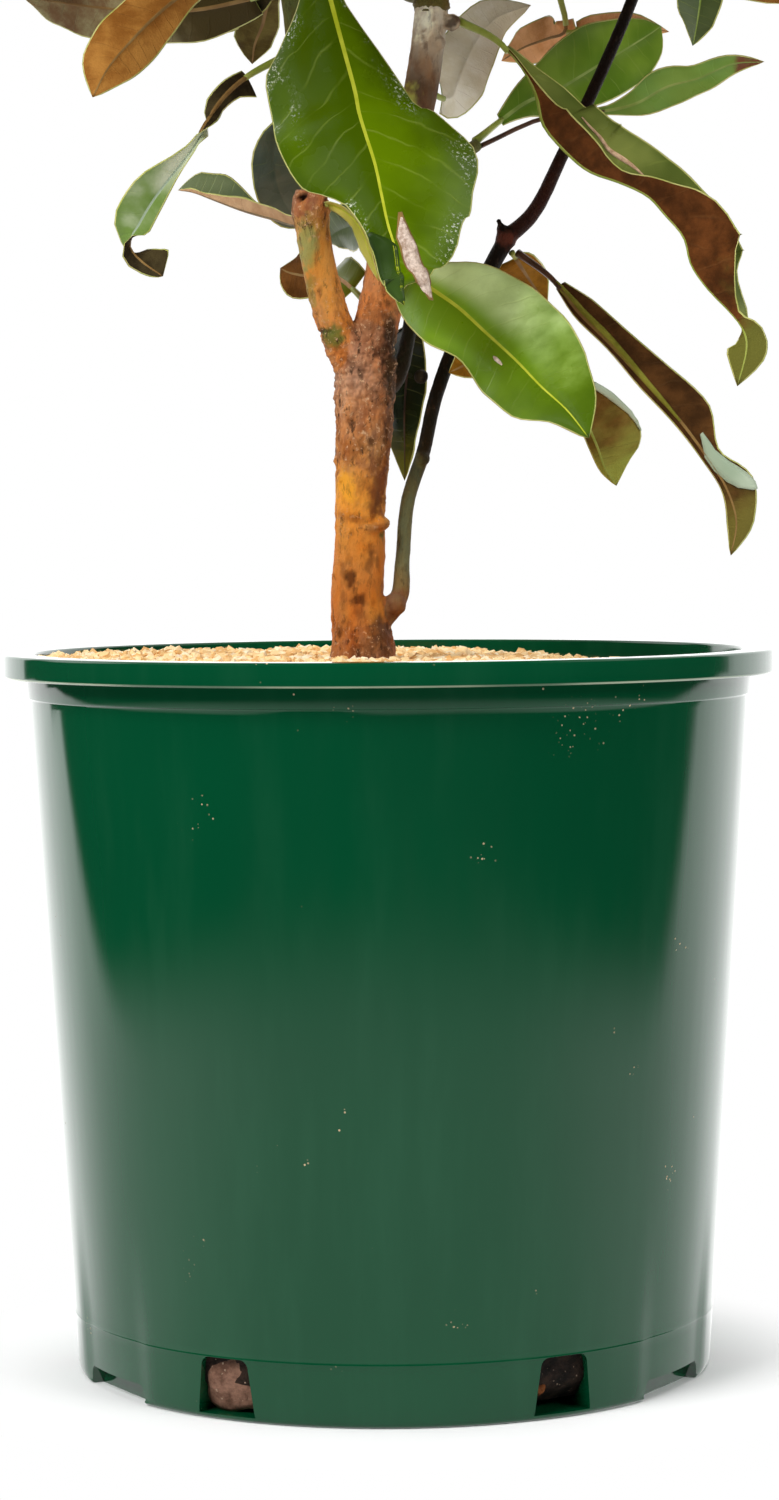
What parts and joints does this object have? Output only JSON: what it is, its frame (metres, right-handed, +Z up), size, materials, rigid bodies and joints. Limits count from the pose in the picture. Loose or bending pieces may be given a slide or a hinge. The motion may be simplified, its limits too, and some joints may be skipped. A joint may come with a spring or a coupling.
{
  "type": "potted magnolia tree",
  "caption": "Young evergreen magnolia in a round nursery pot: a low-forked stem, large glossy leaves with rusty undersides, and a full upright crown.",
  "frame": {"origin": "centre of the pot's flat underside", "axes": "+Z up the stem, -Y towards the front, +X to the right as seen from the front"},
  "size_m": [0.3865, 0.3429, 1.0203],
  "materials": {
    "pot_plastic": "smooth moulded plastic, deep green, glossy",
    "potting_mix": "moist bark mix, dark brown, matte",
    "wood_chips": "loose pale wood chips, matte",
    "bark": "rough orange-brown bark with darker scars",
    "young_bark": "thin green-brown bark, dull",
    "leaf": "glossy green leaf, rusty and matte underneath",
    "foliage": "glossy green leaves, rusty and matte underneath"
  },
  "bodies": {
    "root": {"base_shoot": "young_bark", "base_shoot_top": "young_bark", "bough_high_1": "young_bark", "bough_high_2": "young_bark", "bough_low_1": "young_bark", "bough_low_2": "young_bark", "bough_low_3": "young_bark", "bough_middle_1": "young_bark", "bough_middle_2": "young_bark", "bough_middle_3": "young_bark", "bough_middle_4": "young_bark", "bough_upper_1": "young_bark", "bough_upper_2": "young_bark", "bough_upper_3": "young_bark", "crown_high_1": "foliage", "crown_high_2": "foliage", "crown_left": "foliage", "crown_low_1": "foliage", "crown_low_2": "foliage", "crown_low_3": "foliage", "crown_middle_1": "foliage", "crown_middle_2": "foliage", "crown_middle_3": "foliage", "crown_middle_4": "foliage", "crown_right": "foliage", "crown_top": "foliage", "crown_upper_1": "foliage", "crown_upper_2": "foliage", "crown_upper_3": "foliage", "leader": "young_bark", "leaf_back_rust": "leaf", "leaf_fork_back": "leaf", "leaf_front": "leaf", "leaf_leader_back": "leaf", "leaf_left_dark": "leaf", "leaf_left_far": "leaf", "leaf_left_grey": "leaf", "leaf_left_olive": "leaf", "leaf_left_pink": "leaf", "leaf_left_rust": "leaf", "leaf_left_twisted": "leaf", "leaf_limb_back": "leaf", "leaf_right_amber": "leaf", "leaf_right_back": "leaf", "leaf_right_long": "leaf", "leaf_right_low": "leaf", "leaf_right_middle": "leaf", "leaf_top_right": "leaf", "leaf_trunk_side": "leaf", "leaf_twig_broad": "leaf", "leaf_twig_narrow": "leaf", "left_shoot": "young_bark", "mulch": "wood_chips", "pot": "pot_plastic", "pruned_limb": "bark", "right_twig": "young_bark", "root_ball": "potting_mix", "side_branch": "young_bark", "trunk": "bark"}
  },
  "joints": []
}
